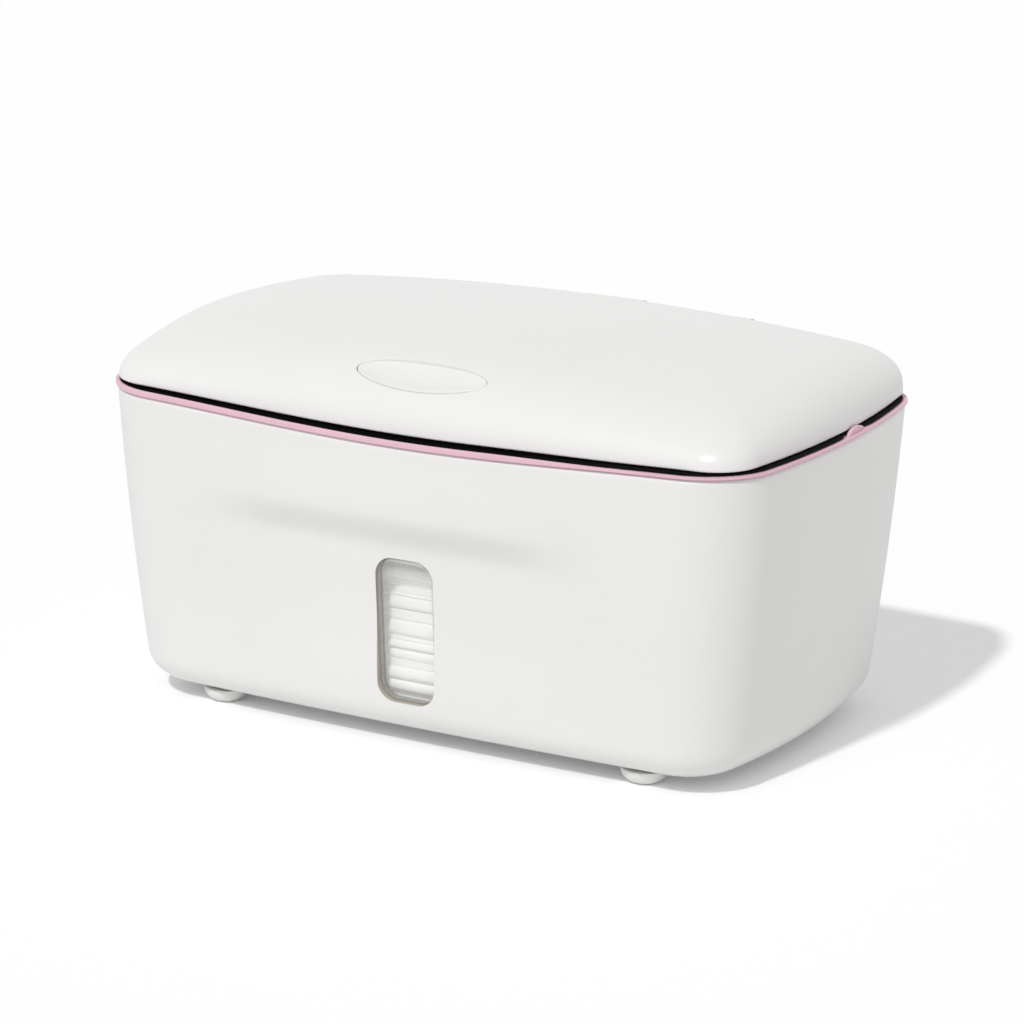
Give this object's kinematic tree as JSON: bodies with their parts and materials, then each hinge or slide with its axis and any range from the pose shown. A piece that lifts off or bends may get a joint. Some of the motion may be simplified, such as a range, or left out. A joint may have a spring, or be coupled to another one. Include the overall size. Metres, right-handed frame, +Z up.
{
  "type": "wipes dispenser",
  "caption": "Free-standing tub for folded wipes with a hinged push-button lid, a soft rim ring, a front window and a weighted plate the wipes are drawn through.",
  "frame": {"origin": "on the table, under the middle of the whole object's bounding box", "axes": "+X along the long side to the right seen from the front, +Y to the rear where the hinge is, +Z up"},
  "size_m": [0.235, 0.141, 0.1241],
  "materials": {
    "white_plastic": "smooth white moulded plastic with a soft gloss",
    "clear_plastic": "clear moulded window pane",
    "pink_silicone": "matt pale pink silicone",
    "black_rubber": "matt black rubber",
    "foot_rubber": "matt off-white rubber",
    "bright_steel": "ground steel",
    "spring_steel": "drawn spring wire",
    "wipes": "damp white non-woven cloth, folded",
    "latch_plastic": "slippery off-white plastic"
  },
  "bodies": {
    "root": {"tub": "white_plastic", "window_pane": "clear_plastic", "rim_ring": "pink_silicone", "foot_front_left": "foot_rubber", "foot_front_right": "foot_rubber", "foot_rear_left": "foot_rubber", "foot_rear_right": "foot_rubber", "hinge_pin": "bright_steel", "hinge_spring": "spring_steel", "wipe_stack": "wipes"},
    "lid": {"lid_shell": "white_plastic", "lid_tray": "white_plastic", "lid_seal": "black_rubber", "button_spring_left": "spring_steel", "button_spring_right": "spring_steel", "latch_pin": "bright_steel", "latch_spring": "spring_steel"},
    "button": {"button": "white_plastic"},
    "latch": {"latch": "latch_plastic"},
    "plate": {"plate_cover": "white_plastic", "plate_base": "white_plastic", "steel_weight": "bright_steel", "pull_lip": "pink_silicone"}
  },
  "joints": [
    {"name": "lid_hinge", "type": "hinge", "parent": "root", "child": "lid", "pos_m": [0, 0.0651, 0.1118], "axis": [-1, 0, 0], "range_deg": [0, 105]},
    {"name": "button_press", "type": "slide", "parent": "lid", "child": "button", "axis": [0, 0, -1], "range_m": [0, 0.002], "stiffness_N_per_m": 800, "springref_m": -0.003, "deforming": ["button_spring_left", "button_spring_right"]},
    {"name": "latch_swing", "type": "hinge", "parent": "lid", "child": "latch", "pos_m": [0, -0.0485, 0.103], "axis": [1, 0, 0], "range_deg": [0, 14.4]},
    {"name": "plate_drop", "type": "slide", "parent": "root", "child": "plate", "axis": [0, 0, 1], "range_m": [-0.052, 0.004], "deforming": ["wipe_stack"]}
  ],
  "couplings": [
    {"joint": "latch_swing", "follows": "button_press", "rad_per_m": 125}
  ]
}
